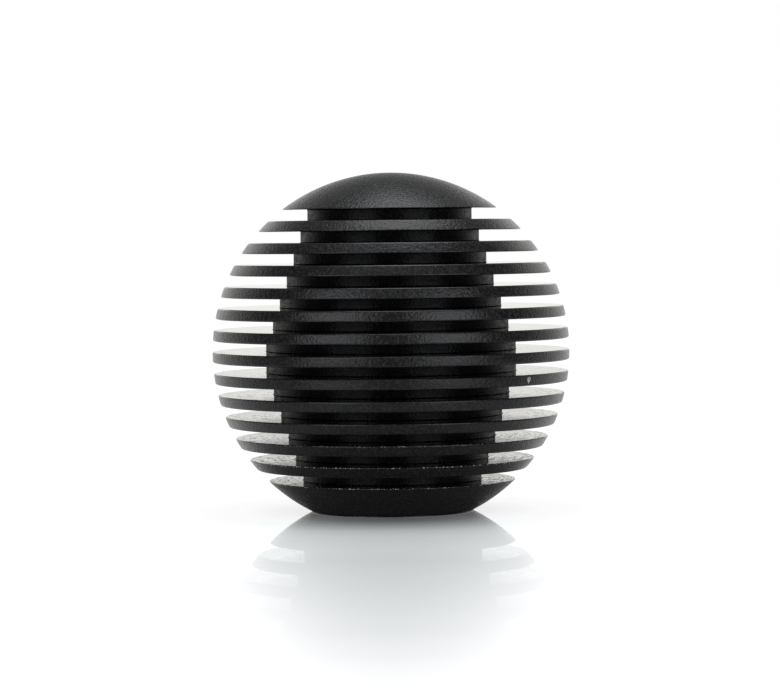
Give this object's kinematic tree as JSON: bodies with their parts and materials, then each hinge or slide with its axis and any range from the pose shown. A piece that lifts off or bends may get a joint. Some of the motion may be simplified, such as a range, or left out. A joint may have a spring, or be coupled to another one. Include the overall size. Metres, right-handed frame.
{
  "type": "gear shift knob",
  "caption": "Ball-shaped gear lever knob turned from a bar, with thin stacked fins between a smooth dome and a flat-based bottom cap, and a threaded adapter underneath for the lever.",
  "frame": {"origin": "centre of the flat base face", "axes": "+Z along the lever axis, from the base up to the dome; X and Y are free, as the knob is round"},
  "size_m": [0.05, 0.05, 0.0474],
  "materials": {
    "black_anodised": "black anodised over a fine bead-blasted surface",
    "plated_steel": "bright zinc plating over turned steel"
  },
  "bodies": {
    "root": {"knob_body": "black_anodised", "thread_adapter": "plated_steel"}
  },
  "joints": []
}
